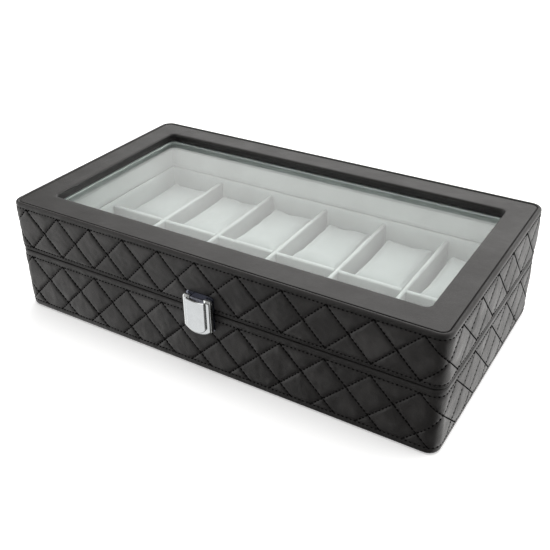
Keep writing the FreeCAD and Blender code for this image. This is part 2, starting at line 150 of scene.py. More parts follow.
def ripples(points, size, height, seed):
    """A smooth random height at each point: a sum of waves about size long."""
    draw = np.random.default_rng(seed)
    total = np.zeros(points.shape[:-1])
    waves = 14
    for _ in range(waves):
        direction = draw.normal(size=3)
        direction *= 2 * math.pi / (np.linalg.norm(direction) * size * draw.uniform(0.7, 1.6))
        total += np.sin(points @ direction + draw.uniform(0, 2 * math.pi))
    return total * height / math.sqrt(waves / 2)


class Outline:
    """Places round a rounded rectangle that stay matched when it is drawn in, let out or moved."""

    def __init__(self, places):
        straight, arc, side = HALF_X - CORNER_R, CORNER_R * math.pi / 2, 2 * (HALF_Y - CORNER_R)
        s = np.abs(places)
        knots = np.cumsum([0, straight, arc, side, arc, straight])
        turn = np.interp(s, knots, (0, 0, math.pi / 2, math.pi / 2, math.pi, math.pi))
        self.normal = np.stack([np.sin(turn) * np.sign(places), -np.cos(turn)], 1)
        along_x = np.interp(s, knots, (0, 1, 1, 1, 1, 0))
        self.along = np.stack([along_x * np.sign(places), np.interp(s, knots, (-1, -1, -1, 1, 1, 1))], 1)

    def rectangle(self, half_x, half_y, radius, centre_y=0.0):
        flat = self.along * (half_x - radius, half_y - radius) + self.normal * radius
        return flat + (0.0, centre_y)

    def inset(self, amount):
        """The box's own outline drawn in by amount, one number or one for each place."""
        mean = float(np.mean(amount))
        radius = max(CORNER_R - mean, 0.3)
        flat = self.rectangle(HALF_X - mean, HALF_Y - mean, radius)
        return flat + self.normal * (mean - np.asarray(amount)).reshape(-1, 1)

    def window(self, grow):
        return self.rectangle(WINDOW_HALF[0] + grow, WINDOW_HALF[1] + grow, WINDOW_R + grow, WINDOW_Y)


def at_height(flat, z):
    return np.column_stack([flat, np.broadcast_to(z, len(flat))])


def loft(rings, rising=None):
    """Points and faces of a closed skin over rings that close on the first again.

    rising says for each square whether it splits along its rising diagonal; without it squares stay whole.
    """
    rings = np.asarray(rings)
    count, places = rings.shape[:2]
    index = np.arange(count * places).reshape(count, places)
    a, b = index, np.roll(index, -1, 1)
    c, d = np.roll(b, -1, 0), np.roll(a, -1, 0)
    if rising is None:
        return rings.reshape(-1, 3), [np.stack([a, b, c, d], -1).reshape(-1, 4)]
    up, down = rising, ~rising
    first = [np.stack([a[up], b[up], c[up]], -1), np.stack([a[up], c[up], d[up]], -1)]
    second = [np.stack([a[down], b[down], d[down]], -1), np.stack([b[down], c[down], d[down]], -1)]
    return rings.reshape(-1, 3), first + second


def tube(rings):
    """Points and faces of a closed skin over rings, with both ends capped."""
    rings = np.asarray(rings)
    count, places = rings.shape[:2]
    index = np.arange(count * places).reshape(count, places)
    a, b = index[:-1], np.roll(index, -1, 1)[:-1]
    c, d = np.roll(index, -1, 1)[1:], index[1:]
    return rings.reshape(-1, 3), [np.stack([a, b, c, d], -1).reshape(-1, 4), [index[0][::-1]], [index[-1]]]


def arc(centre, radii, start, end, count):
    """Points of an elliptical arc in the (inset, z) plane, angles in degrees, both ends included."""
    turn = np.radians(np.linspace(start, end, count))
    return [(centre[0] + radii[0] * math.cos(t), centre[1] + radii[1] * math.sin(t)) for t in turn]


def box_grid(xs, ys, zs):
    """Points and faces of a closed box cut into squares at the given stations."""
    found, points, faces = {}, [], []

    def corner(i, j, k):
        if (i, j, k) not in found:
            found[i, j, k] = len(points)
            points.append((xs[i], ys[j], zs[k]))
        return found[i, j, k]

    cells = (len(xs) - 1, len(ys) - 1, len(zs) - 1)
    for across, up, through in ((0, 1, 2), (0, 2, 1), (1, 2, 0)):
        for i, j, side in itertools.product(range(cells[across]), range(cells[up]), (0, cells[through])):
            square = []
            for step_i, step_j in ((0, 0), (1, 0), (1, 1), (0, 1)):
                place = [side] * 3
                place[across], place[up] = i + step_i, j + step_j
                square.append(corner(*place))
            inwards = (side == 0) != (through == 1)
            faces.append(square[::-1] if inwards else square)
    return np.array(points), [faces]


def soften(points, lo, hi, radius):
    """Moves the points of a box grid onto the same box with rounded edges."""
    inner = np.clip(points, lo + radius, hi - radius)
    away = points - inner
    length = np.linalg.norm(away, axis=1, keepdims=True)
    reach = np.abs(away).max(1, keepdims=True)
    return inner + away * np.where(length > 1e-9, reach / np.maximum(length, 1e-9), 0)


# ---- materials ---------------------------------------------------------------------------------------
class Finish:
    """A Principled material that is put together from procedural textures in the frame's own metres."""

    def __init__(self, name, **fixed):
        self.material = bpy.data.materials.new(name)
        self.material.use_nodes = True
        self.tree = self.material.node_tree
        self.shader = self.tree.nodes["Principled BSDF"]
        self.place = self.node("TexCoord").outputs["Object"]
        for key, value in fixed.items():
            self.shader.inputs[key.replace("_", " ")].default_value = value

    def node(self, kind, settings=None, **inputs):
        made = self.tree.nodes.new("ShaderNode" + kind)
        for key, value in (settings or {}).items():
            setattr(made, key, value)
        for key, value in inputs.items():
            self.feed(made.inputs[key.replace("_", " ")], value)
        return made

    def feed(self, socket, value):
        if isinstance(value, bpy.types.NodeSocket):
            self.tree.links.new(value, socket)
        else:
            socket.default_value = value

    def noise(self, size, detail=3.0, rough=0.55, stretch=(1, 1, 1)):
        """Soft noise, features about size millimetres across and drawn out by stretch."""
        mapped = self.node("Mapping", Vector=self.place, Scale=tuple(1 / s for s in stretch))
        return self.node("TexNoise", Vector=mapped.outputs[0], Scale=0.5 / (size * MM), Detail=detail,
                         Roughness=rough).outputs["Fac"]

    def cells(self, size, feature="DISTANCE_TO_EDGE"):
        """Cells about size millimetres across, like the pebbles of leather grain."""
        return self.node("TexVoronoi", {"feature": feature}, Vector=self.place,
                         Scale=1 / (size * MM)).outputs["Distance"]

    def ramp(self, value, low, high, to_low=0.0, to_high=1.0):
        """Value's range from low to high, spread over to_low to to_high."""
        made = self.node("MapRange", {"interpolation_type": "SMOOTHSTEP"}, Value=value)
        for key, number in zip(("From Min", "From Max", "To Min", "To Max"), (low, high, to_low, to_high)):
            made.inputs[key].default_value = number
        return made.outputs["Result"]

    def math(self, operation, a, b=0.0):
        made = self.node("Math", {"operation": operation})
        self.feed(made.inputs[0], a)
        self.feed(made.inputs[1], b)
        return made.outputs[0]

    def blend(self, factor, first, second):
        made = self.node("Mix", {"data_type": "RGBA"})
        self.feed(made.inputs[0], factor)
        self.feed(made.inputs[6], colour(first))
        self.feed(made.inputs[7], colour(second))
        return made.outputs[2]

    def set(self, **inputs):
        for key, value in inputs.items():
            self.feed(self.shader.inputs[key.replace("_", " ")], value)
        return self

    def bump(self, *layers):
        """Bump from (height, depth in millimetres) layers."""
        normal = None
        for height, depth in layers:
            made = self.node("Bump", Height=height, Distance=depth * MM, Strength=1.0)
            if normal:
                self.feed(made.inputs["Normal"], normal)
            normal = made.outputs["Normal"]
        self.feed(self.shader.inputs["Normal"], normal)
        return self.material


def colour(value):
    """A socket as it is, or a grey or red, green, blue as four numbers."""
    if isinstance(value, bpy.types.NodeSocket):
        return value
    return (value, value, value, 1.0) if isinstance(value, float) else (*value, 1.0)


def leather(name, tone, worn, roughness, quilted):
    """Dark pebbled leatherette, paler and glossier where hands rub it; when quilted, it has painted shade in
    its seam creases.
    """
    f = Finish(name, IOR=1.5, Specular_IOR_Level=0.42 if quilted else 0.52)
    patches = f.ramp(f.noise(28, 2), 0.35, 0.65)
    base = f.blend(patches, tone, [c * 1.3 for c in tone])
    fine = f.ramp(f.noise(2.2, 4), 0.42, 0.7, 0.0, 0.55)
    base = f.blend(fine, base, [c * 1.55 for c in tone])
    if quilted:
        relief = f.node("Attribute", {"attribute_name": "relief"}).outputs["Fac"]
        crest = f.math("MULTIPLY", f.ramp(relief, 0.55, 1.05), f.ramp(f.noise(9, 3), 0.4, 0.66, 0.1, 0.8))
        base = f.blend(crest, base, worn)
        # painted shade: where the relief is low, in the seam creases, the colour darkens to a quarter of its
        # tone
        base = f.blend(f.ramp(relief, 0.0, 0.25, 0.8, 0.0), base, [c * 0.25 for c in tone])
    grain = f.cells(0.95)
    pores = f.noise(0.5, 3)
    rub = f.noise(14, 3)
    f.set(Base_Color=base, Roughness=f.ramp(rub, 0.3, 0.7, roughness[0], roughness[1]))
    return f.bump((f.ramp(grain, 0.0, 0.2), 0.035), (pores, 0.05), (f.noise(5, 2), 0.22))


def suede(name, tone, nap, sheen=0.25, size=0.7):
    """Short-napped cloth: brushed patches, a fine fleck and a soft sheen."""
    f = Finish(name, Sheen_Weight=sheen, Sheen_Roughness=0.45, IOR=1.4, Specular_IOR_Level=0.15)
    brushed = f.ramp(f.noise(16, 3, 0.6, (1, 2.2, 1)), 0.35, 0.65)
    base = f.blend(brushed, tone, [c * nap for c in tone])
    fleck = f.ramp(f.noise(size, 4, 0.7), 0.4, 0.75, 0.0, 0.5)
    base = f.blend(fleck, base, [c * (nap - 0.05) for c in tone])
    f.set(Base_Color=base, Roughness=f.ramp(f.noise(6), 0.3, 0.7, 0.86, 0.98))
    return f.bump((f.noise(size, 4, 0.7), 0.05), (f.noise(4.5, 2), 0.06))


def metal(name, tone, roughness, along=(1, 14, 1), scratches=0.004):
    """Plated metal with fine polishing lines and a few smears."""
    f = Finish(name, Metallic=1.0, IOR=2.5)
    smear = f.ramp(f.noise(5, 4), 0.35, 0.7)
    base = f.blend(smear, tone, [c * 0.93 for c in tone])
    lines = f.noise(0.25, 5, 0.7, along)
    f.set(Base_Color=base, Roughness=f.ramp(f.noise(3, 4), 0.3, 0.7, roughness[0], roughness[1]))
    return f.bump((lines, scratches), (f.noise(1.4, 2), scratches * 0.6))


def fibreboard(name):
    """Pale brown board with pressed fibres."""
    f = Finish(name, IOR=1.45, Specular_IOR_Level=0.25)
    fibres = f.noise(1.1, 6, 0.7, (3, 1, 1))
    base = f.blend(f.ramp(fibres, 0.3, 0.7), (0.36, 0.25, 0.15), (0.55, 0.42, 0.28))
    f.set(Base_Color=base, Roughness=f.ramp(f.noise(4), 0.3, 0.7, 0.7, 0.9))
    return f.bump((fibres, 0.08))


def foam(name):
    """Open-celled wadding."""
    f = Finish(name, IOR=1.4, Specular_IOR_Level=0.1)
    holes = f.cells(0.9, "F1")
    base = f.blend(f.ramp(holes, 0.1, 0.6), (0.62, 0.58, 0.48), (0.8, 0.77, 0.68))
    f.set(Base_Color=base, Roughness=f.ramp(f.noise(6), 0.3, 0.7, 0.88, 0.98))
    return f.bump((holes, 0.3))


def thread(name):
    """Black sewing thread with its twist."""
    f = Finish(name, IOR=1.45, Specular_IOR_Level=0.08)
    twist = f.noise(0.35, 2, 0.5, (1, 1, 2))
    base = f.blend(f.ramp(twist, 0.3, 0.7), (0.0016, 0.0015, 0.0015), (0.004, 0.0038, 0.0038))
    f.set(Base_Color=base, Roughness=f.ramp(f.noise(2), 0.3, 0.7, 0.6, 0.85))
    return f.bump((twist, 0.05))


def window_glass(name):
    """Clear float glass with a faint green tint; light passes straight through it."""
    f = Finish(name, Transmission_Weight=1.0, IOR=1.5, Specular_IOR_Level=0.25, Base_Color=(*PANE, 1.0))
    f.set(Roughness=f.ramp(f.noise(40, 3), 0.3, 0.7, 0.0, 0.012))
    clear = f.node("BsdfTransparent", Color=(*PANE, 1.0))
    shadow = f.node("LightPath").outputs["Is Shadow Ray"]
    mixed = f.node("MixShader", Fac=shadow)
    f.tree.links.new(f.shader.outputs[0], mixed.inputs[1])
    f.tree.links.new(clear.outputs[0], mixed.inputs[2])
    f.tree.links.new(mixed.outputs[0], f.tree.nodes["Material Output"].inputs["Surface"])
    return f.material


PANE = (0.95, 0.974, 0.964)
LEATHER_TONE = (0.0098, 0.0089, 0.0086)
QUILTED = leather("quilted_leatherette", LEATHER_TONE, (0.034, 0.032, 0.031), (0.38, 0.5), True)
SMOOTH = leather("smooth_leatherette", LEATHER_TONE, (0.034, 0.032, 0.031), (0.38, 0.46), False)
THREAD = thread("black_thread")
SUEDE = suede("pale_suede", (0.55, 0.58, 0.567), 0.88)
VELVET = suede("divider_velvet", (0.37, 0.382, 0.376), 0.9, 0.3, 0.5)
PILLOW_VELVET = suede("pillow_velvet", (0.30, 0.313, 0.31), 0.9, 0.3, 0.5)
FELT = suede("black_felt", (0.03, 0.03, 0.032), 0.6, 0.1, 0.9)
CHROME = metal("polished_chrome", (0.86, 0.88, 0.88), (0.06, 0.16))
# painted shade: the clasp plates' chrome is darkened to stand for the shadow and the dark reflections they
# show behind the lever
PLATE_CHROME_PAINTED_SHADE = metal("chrome_painted_shade", (0.27, 0.28, 0.33), (0.12, 0.22))
NICKEL = metal("nickel_plate", (0.72, 0.69, 0.64), (0.2, 0.34))
STEEL = metal("spring_steel", (0.5, 0.5, 0.52), (0.25, 0.4))
BOARD = fibreboard("fibreboard")
WADDING = foam("wadding")
GLASS = window_glass("float_glass")


# ---- quilted covers ----------------------------------------------------------------------------------
class Quilt:
    """The pattern of one cover: its level seams and the diamonds between them."""

    def __init__(self, seams, diamond, counts, places, seed):
        self.high = seams[1]
        self.diamond = diamond
        self.row_count = round((seams[1] - seams[0]) / diamond * STEPS)
        self.low = self.high - self.row_count * diamond / STEPS
        self.counts, self.places = counts, places
        self.across = DIAMOND_WIDTH * diamond / math.hypot(DIAMOND_WIDTH, diamond)
        self.puff = np.random.default_rng(seed).uniform(0.8, 1.12, MOODS)
        self.lean = np.random.default_rng(seed + 1).uniform(-0.12, 0.12, MOODS)

    def outline(self, count):
        """The box's outline at numbers of diamonds from the middle of the front."""
        wrapped = (np.asarray(count) + HALF_COUNT) % (2 * HALF_COUNT) - HALF_COUNT
        return Outline(np.interp(wrapped, self.counts, self.places))

    def rise(self, z):
        return (z - self.high) / self.diamond + 1

    def relief(self, count, z):
        """The leather's height above its seams, as a share of PUFF; count is in diamonds from the front."""
        falling, rising = count + self.rise(z), count - self.rise(z)
        u, v = falling % 1, rising % 1
        ids = (np.floor(falling).astype(int) % MOODS[0], np.floor(rising).astype(int) % MOODS[1])
        level = np.minimum(np.abs(z - self.low), np.abs(z - self.high))
        creases = 1.0
        for distance in (np.minimum(u, 1 - u) * self.across, np.minimum(v, 1 - v) * self.across, level):
            creases = creases * (1 - np.exp(-distance / CREASE))
        dome = np.sqrt(16 * u * (1 - u) * v * (1 - v))
        lean = 1 + self.lean[ids] * (u - v)
        quilted = creases * (0.6 + 0.4 * dome) * self.puff[ids] * lean
        band = (1 - np.exp(-level / (0.6 * CREASE))) * BAND_PUFF / PUFF
        return np.where((z > self.low) & (z < self.high), quilted, band)

    def shade(self, count, z, relief):
        """Relief as the leather's colour follows it: painted crease shade darkens only a narrow line along
        the falling seams.
        """
        u = (count + self.rise(z)) % 1
        return np.where(np.minimum(u, 1 - u) * self.across < SEAM_SHADE_HALF_WIDTH, relief, np.maximum(relief, LEVEL_SHADE))

    def rows(self):
        """Heights of the mesh rows between the level seams, which are rows too."""
        return self.high - np.arange(self.row_count + 1)[::-1] * self.diamond / STEPS


LID_QUILT = Quilt(LID_STITCH_Z, LID_STITCH_Z[1] - LID_STITCH_Z[0], LID_COUNTS, LID_PLACES, 5)
BASE_QUILT = Quilt(BASE_STITCH_Z, BASE_DIAMOND, BASE_COUNTS, BASE_PLACES, 8)
COUNTS = np.arange(-HALF_COUNT, HALF_COUNT, 1 / STEPS)


def quilted_cover(name, quilt, below, above, body, node, seed):
    """A padded cover: the profile below its face, the quilted face and the profile above it.

    Profiles hold (inset, z) points; the last point of above leads back to the first of below.
    """
    fine = quilt.outline(COUNTS)
    rings, shares = [], []
    for inset, z in below:
        rings.append(at_height(fine.inset(inset), z))
        shares.append(np.full(len(COUNTS), PLAIN_SHARE))
    face_foot, face_top = below[-1][1], above[0][1]
    rows = quilt.rows()
    low_band = np.linspace(face_foot, rows[0], BAND_STEPS, endpoint=False)[1:]
    high_band = np.linspace(rows[-1], face_top, BAND_STEPS, endpoint=False)[1:]
    for z in np.concatenate([low_band, rows, high_band]):
        share = quilt.relief(COUNTS, np.full(len(COUNTS), z))
        flat = at_height(fine.inset(0), z)
        wrinkle = ripples(flat, 12, 0.06, seed) + ripples(flat, 4.5, 0.03, seed + 1)
        proud = share * PUFF + wrinkle * np.clip(share * 2.5, 0, 1)
        rings.append(at_height(fine.inset(VALLEY - proud), z))
        shares.append(quilt.shade(COUNTS, z, share))
    for inset, z in above:
        rings.append(at_height(fine.inset(inset), z))
        shares.append(np.full(len(COUNTS), PLAIN_SHARE))
    zs = np.array([ring[0, 2] for ring in rings])
    z_middle = ((zs + np.roll(zs, -1)) / 2)[:, None]
    middle = COUNTS[None, :] + 0.5 / STEPS
    from_rising = np.abs((middle - quilt.rise(z_middle) + 0.5) % 1 - 0.5)
    from_falling = np.abs((middle + quilt.rise(z_middle) + 0.5) % 1 - 0.5)
    points, faces = loft(rings, from_rising < from_falling)
    cover = make(name, points, faces, body, QUILTED)
    # the relief attribute carries into the leather's colour both the crest wear and the painted crease shade
    relief = cover.data.attributes.new("relief", "FLOAT", "POINT")
    relief.data.foreach_set("value", np.concatenate(shares).astype(np.float32))
    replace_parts(cover, node)
    return cover


def lid_cover():
    turned_in = [(WALL, LID_BOARD_FOOT - 0.05), (WALL, SPLIT_Z + 0.25), (WALL - 0.3, SPLIT_Z + 0.02),
                 (LEDGE[1], SPLIT_Z), (LEDGE[0], SPLIT_Z)]
    fold = arc((EDGING, SPLIT_Z + EDGING), (EDGING, EDGING), 270, 180, 7)
    fold += [(0.45, SPLIT_Z + EDGING + 0.4), (0.05, SPLIT_Z + EDGING + 0.8)]
    roll_r = RIM_WIDTH / 2
    roll = arc((roll_r, RIM_Z - roll_r), (roll_r, roll_r), 180, -20, 11)
    board = RIM_Z - LEATHER + 0.02
    flange = HALF_X - TOP_HI[0] + 0.05
    hidden = [(RIM_WIDTH, board + 0.2), (RIM_WIDTH + 0.1, board + 0.1), (flange, board + 0.1),
              (flange, board), (LEATHER, board), (LEATHER, LID_BOARD_FOOT)]
    return quilted_cover("lid_quilted_leather", LID_QUILT, turned_in + fold, roll + hidden, "lid",
                         "lid_quilted_cover", 21)


def base_cover():
    hidden = [(LEATHER, BOARD_TOP), (LEATHER, BOARD_FOOT + 2.0), (LEATHER + 0.1, BOARD_FOOT - 0.02),
              (RIM_WIDTH, BOARD_FOOT - 0.02), (RIM_WIDTH, FOOT_Z)]
    foot = arc((FOOT_IN, FOOT_Z + FOOT_RISE), (FOOT_IN, FOOT_RISE), 270, 180, 8)
    fold = arc((SPLIT_IN, SPLIT_Z - SPLIT_GAP - SPLIT_DROP), (SPLIT_IN, SPLIT_DROP), 180, 90, 7)
    turned_in = [(LEDGE[0], SPLIT_Z), (LEDGE[1], SPLIT_Z), (WALL - 0.3, SPLIT_Z - 0.02),
                 (WALL, SPLIT_Z - 0.25), (WALL, BOARD_TOP + 0.05)]
    return quilted_cover("base_quilted_leather", BASE_QUILT, hidden + foot, fold + turned_in, "base",
                         "base_quilted_cover", 31)


# ---- stitching ---------------------------------------------------------------------------------------
STITCH_R = 0.5
STITCH_SIDES = 6
# a stitch's rings: place along it, radius as a share of STITCH_R, height off the seam's bottom
STITCH_RINGS = ((-0.46, 0.6, -0.2), (-0.3, 1.0, 0.12), (0, 1.08, 0.22), (0.3, 1.0, 0.12), (0.46, 0.6, -0.2))
DASH, DASH_GAP = 1.7, 1.35              # seams that rise to the right, and level ones
RUN, RUN_GAP = 2.6, 0.35                # seams that fall to the right, drawn tight


def stitch_template():
    """One stitch along X, one unit long: its rings and two end points, which are sunk in the leather."""
    turn = np.linspace(0, 2 * math.pi, STITCH_SIDES, endpoint=False)
    points = []
    for t, r, lift in STITCH_RINGS:
        points += [(t, r * STITCH_R * math.cos(a), lift + r * STITCH_R * math.sin(a)) for a in turn]
    points += [(-0.5, 0, -0.45), (0.5, 0, -0.45)]
    start, end = len(points) - 2, len(points) - 1
    last_ring = start - STITCH_SIDES
    faces = []
    for foot in range(0, last_ring, STITCH_SIDES):
        for i in range(STITCH_SIDES):
            j = (i + 1) % STITCH_SIDES
            a, b, c, d = foot + i, foot + j, foot + STITCH_SIDES + j, foot + STITCH_SIDES + i
            faces += [(a, b, c), (a, c, d)]
    for i in range(STITCH_SIDES):
        j = (i + 1) % STITCH_SIDES
        faces += [(start, j, i), (end, last_ring + i, last_ring + j)]
    return np.array(points), np.array(faces)


def seam_lines(quilt):
    """(start, end, dash, gap) of every seam, its ends as (diamonds from the front, height)."""
    total = round(2 * HALF_COUNT)
    foot = quilt.low
    drop = 1 - quilt.rise(foot)
    lines = []
    for number in range(total):
        lines.append(((number + 1 - drop, foot), (number + 1, quilt.high), DASH, DASH_GAP))
        lines.append(((number, quilt.high), (number + drop, foot), RUN, RUN_GAP))
        for z in (foot, quilt.high):
            lines.append(((number - 0.5, z), (number + 0.5, z), DASH, DASH_GAP))
    return lines


def stitching(name, quilt, body):
    template, template_faces = stitch_template()
    points, faces, made = [], [], 0
    for (c0, z0), (c1, z1), dash, gap in seam_lines(quilt):
        length = math.hypot((c1 - c0) * DIAMOND_WIDTH, z1 - z0)
        number = round(length / (dash + gap))
        share = dash / (dash + gap) / 2
        middle = (np.arange(number) + 0.5) / number + rng.normal(0, 0.012 / number, number)
        ends = []
        for t in (middle - share / number, middle + share / number):
            outline = quilt.outline(c0 + (c1 - c0) * t)
            ends.append(np.column_stack([outline.inset(VALLEY), z0 + (z1 - z0) * t]))
        normal = np.column_stack([outline.normal, np.zeros(number)])
        along = ends[1] - ends[0]
        size = np.linalg.norm(along, axis=1, keepdims=True)
        tangent = along / size
        side = np.cross(normal, tangent)
        centre = (ends[0] + ends[1]) / 2
        stitches = (centre[:, None] + template[None, :, :1] * along[:, None]
                    + template[None, :, 1:2] * side[:, None] + template[None, :, 2:] * normal[:, None])
        points.append(stitches.reshape(-1, 3))
        offsets = (made + np.arange(number))[:, None, None] * len(template)
        faces.append((template_faces[None] + offsets).reshape(-1, 3))
        made += number
    return make(name, np.concatenate(points), faces, body, THREAD)


# ---- lid top and linings -----------------------------------------------------------------------------
def coarse_places():
    """Places about 3 mm apart on the straights and 1 mm apart round the corners."""
    straight, turn, side = HALF_X - CORNER_R, CORNER_R * math.pi / 2, 2 * (HALF_Y - CORNER_R)
    knots = np.cumsum([0, straight, turn, side, turn, straight])
    parts = [np.linspace(a, b, n, endpoint=False) for a, b, n in zip(knots, knots[1:], (56, 14, 60, 14, 56))]
    right = np.concatenate(parts)
    return np.concatenate([right, [knots[-1]], -right[:0:-1]])


COARSE = Outline(coarse_places())


def lid_top():
    """Smooth leather over the lid's frame, rolled down into the window with its turned edge."""
    top, board, foot = TOP_HI[2], RIM_Z - LEATHER, TOP_LO[2]
    outer = HALF_X - TOP_HI[0]
    rings = [at_height(COARSE.inset(outer), board), at_height(COARSE.inset(outer), top - 0.35),
             at_height(COARSE.inset(outer + 0.1), top - 0.12), at_height(COARSE.inset(outer + 0.35), top)]
    roll = 1.3
    start, end = COARSE.inset(outer + 0.8), COARSE.window(roll)
    for share in np.linspace(0, 1, 9):
        flat = at_height(start * (1 - share) + end * share, top)
        flat[:, 2] += ripples(flat, 26, 0.05, 41) * math.sin(math.pi * share) - 0.02
        rings.append(flat)
    for angle in np.radians((22.5, 45, 67.5, 90)):
        drop = 0.02 + roll * (1 - math.cos(angle))
        rings.append(at_height(COARSE.window(roll * (1 - math.sin(angle))), top - drop))
    step = 0.25
    rings += [at_height(COARSE.window(0), top - 2.0), at_height(COARSE.window(step), top - 2.2),
              at_height(COARSE.window(step), foot + 2.0), at_height(COARSE.window(step), foot),
              at_height(COARSE.window(0.8), foot), at_height(COARSE.window(0.8), board)]
    points, faces = loft(rings)
    piece = make("lid_top_leather_panel", points, faces, "lid", SMOOTH, sharp=50)
    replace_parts(piece, "lid_top_leather")


def lining(name, z0, z1, body, node, seed):
    """Suede-covered card against the walls, with a soft upper and lower edge."""
    back, face = WALL, INSIDE
    soft = 0.55
    rows = np.linspace(z0 + soft, z1 - soft, max(int((z1 - z0) / 4), 4))
    rings = [at_height(COARSE.inset(back), z) for z in (z1 - 0.1, z0 + 0.1)]
    rings.append(at_height(COARSE.inset(back + 0.2), z0))
    for z in (z0, *rows, z1):
        edge = z in (z0, z1)
        flat = at_height(COARSE.inset(face - soft if edge else face), z)
        if not edge:
            flat[:, :2] += COARSE.normal * (0.06 + ripples(flat, 22, 0.05, seed))[:, None]
        rings.append(flat)
    rings.append(at_height(COARSE.inset(back + 0.2), z1))
    points, faces = loft(rings)
    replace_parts(make(name, points, faces, body, SUEDE, sharp=60), node)


def glass_retainer():
    """Suede-covered frame that holds the glass up from below."""
    z0, z1 = RETAINER_LO[2], RETAINER_HI[2]
    soft = 0.6
    start, end = COARSE.inset(INSIDE + soft), COARSE.window(soft)
    rings = [at_height(COARSE.inset(INSIDE), z1), at_height(COARSE.inset(INSIDE), z0 + soft)]
    for share in np.linspace(0, 1, 6):
        flat = at_height(start * (1 - share) + end * share, z0)
        flat[:, 2] += np.abs(ripples(flat, 20, 0.05, 51)) * math.sin(math.pi * share)
        rings.append(flat)
    rings += [at_height(COARSE.window(0), z0 + soft), at_height(COARSE.window(0), z1 - 0.2),
              at_height(COARSE.window(0.3), z1)]
    points, faces = loft(rings)
    piece = make("glass_retainer_suede", points, faces, "lid", SUEDE, sharp=60)
    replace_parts(piece, "lid_glass_retainer")


SHEET_POINTS = (61, 35)                 # mesh points of a flat sheet along X and Y
SHEET_ROUND = 0.3


def sheet_piece(name, lo, hi, body, material, node, seed, wave):
    """A flat cloth-covered sheet with soft edges and a slightly uneven top."""
    xs, ys = np.linspace(lo[0], hi[0], SHEET_POINTS[0]), np.linspace(lo[1], hi[1], SHEET_POINTS[1])
    xs[1], xs[-2], ys[1], ys[-2] = lo[0] + 0.5, hi[0] - 0.5, lo[1] + 0.5, hi[1] - 0.5
    points, faces = box_grid(xs, ys, (lo[2], (lo[2] + hi[2]) / 2, hi[2]))
    points = soften(points, lo, hi, SHEET_ROUND)
    upper = points[:, 2] > hi[2] - 0.01
    points[upper, 2] -= np.abs(ripples(points[upper], 18, wave, seed))
    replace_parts(make(name, points, faces, body, material, sharp=60), node)


# ---- dividers ----------------------------------------------------------------------------------------
DIVIDER_STATIONS = 60                   # mesh sections along a divider, apart from those at its notches
LAP_SLOPE = 0.15                        # length over which a section steps up or down at a notch
TOP_ROLL = 0.94                         # radius of the rolled top, as a share of half the thickness


def velvet_divider(node, notch_centres, notch_above):
    """A velvet-covered board with a rolled top, half-lapped where it crosses the others."""
    lo, hi = span(node)
    axis = 0 if hi[0] - lo[0] > hi[1] - lo[1] else 1
    thick = (hi - lo)[1 - axis]
    middle = (lo + hi)[1 - axis] / 2
    half_height = (lo[2] + hi[2]) / 2
    stations = set(np.linspace(lo[axis] + 0.6, hi[axis] - 0.6, DIVIDER_STATIONS))
    stations |= {lo[axis], hi[axis]}
    for centre in notch_centres:
        inside = [s for s in stations if abs(s - centre) < thick / 2 + 1.5]
        stations -= set(inside)
        steps = (-thick / 2 - LAP_SLOPE, -thick / 2, 0, thick / 2, thick / 2 + LAP_SLOPE)
        stations |= {centre + step for step in steps}
    rings = []
    for station in sorted(stations):
        notched = any(abs(station - c) <= thick / 2 + 1e-6 for c in notch_centres)
        z0 = half_height if notched and not notch_above else lo[2]
        z1 = half_height if notched and notch_above else hi[2]
        end = 0.35 if station in (lo[axis], hi[axis]) else 0.0
        rings.append(divider_section(axis, station, middle, thick / 2 - end, z0 + end, z1 - end))
    rings = np.array(rings)
    wave = ripples(rings, 9, 0.06, 60 + len(notch_centres))
    rings[..., 1 - axis] += wave * np.sign(rings[..., 1 - axis] - middle)
    points, faces = tube(rings)
    piece = make(f"velvet_{node}", points, faces, "base", VELVET, sharp=55)
    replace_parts(piece, node)


def divider_section(axis, station, middle, half, z0, z1):
    """A closed section with a rolled top: points up one side, over and down the other."""
    roll = half * TOP_ROLL
    side = [(half - 0.1, z0), (half, z0 + 0.3)]
    side += [(half, z) for z in np.linspace(z0 + 2, z1 - roll - 1, 6)]
    over = [(half * math.cos(t), z1 - roll + roll * math.sin(t)) for t in np.radians(np.linspace(0, 180, 11))]
    outline = side + over + [(-w, z) for w, z in side[::-1]]
    section = np.zeros((len(outline), 3))
    section[:, axis] = station
    section[:, 1 - axis] = [middle + w for w, _ in outline]
    section[:, 2] = [z for _, z in outline]
    return section


# ---- pillows -----------------------------------------------------------------------------------------
SIM_SCALE = 10.0                        # cloth settings are steadier on a pillow ten times as large
SIM_CAP = 2.4                           # how far the filling may push the cover out, in millimetres
SIM_FRAMES = 20
PILLOW_GRID = (2.3, 2.3, 2.2)           # between mesh points
PILLOW_ROUND = 3.2                      # rounding of the edges before the filling swells them
SEAM_IN = 2.6                           # the end panel's seam, from the pillow's end
STITCHES_IN = 1.7                       # the stitches beside it, from the seam


def pillow_stations(half, pitch, seams=()):
    """Stations from -half to half, with three close together at each seam."""
    even = np.linspace(-half, half, round(2 * half / pitch) + 1)
    extra = [side * (seam + k) for seam in seams for side in (-1, 1) for k in (-0.55, 0, 0.55)]
    kept = [e for e in even if all(abs(e - x) > 0.5 for x in extra)]
    return np.array(sorted(kept + extra))


